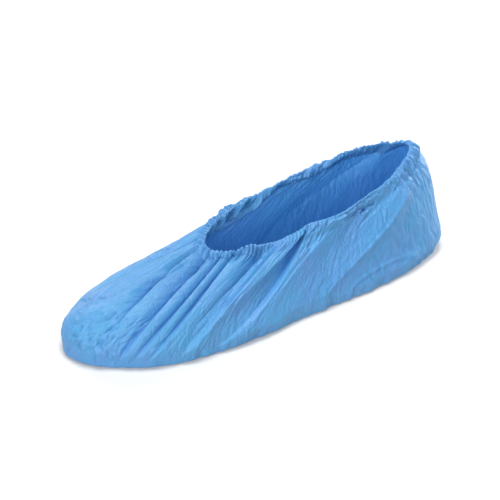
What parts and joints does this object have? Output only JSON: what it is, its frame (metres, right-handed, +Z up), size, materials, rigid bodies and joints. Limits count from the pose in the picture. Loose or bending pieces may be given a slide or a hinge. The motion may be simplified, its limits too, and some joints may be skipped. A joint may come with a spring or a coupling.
{
  "type": "plastic shoe cover",
  "caption": "Disposable overshoe of thin blue plastic film in its worn form: flat sole, gathered vamp and sides, and an elasticated opening in a ruffled casing.",
  "frame": {"origin": "middle of the sole, on the film's inner face, where the sole of the shoe presses", "axes": "+X towards the heel, -X towards the toe, +Z up out of the opening"},
  "size_m": [0.331, 0.1081, 0.0894],
  "materials": {
    "film": "satin embossed film",
    "casing": "satin embossed film",
    "elastic": "plain"
  },
  "bodies": {
    "root": {"film_body": "film", "hem_casing": "casing", "elastic_band": "elastic"}
  },
  "joints": []
}
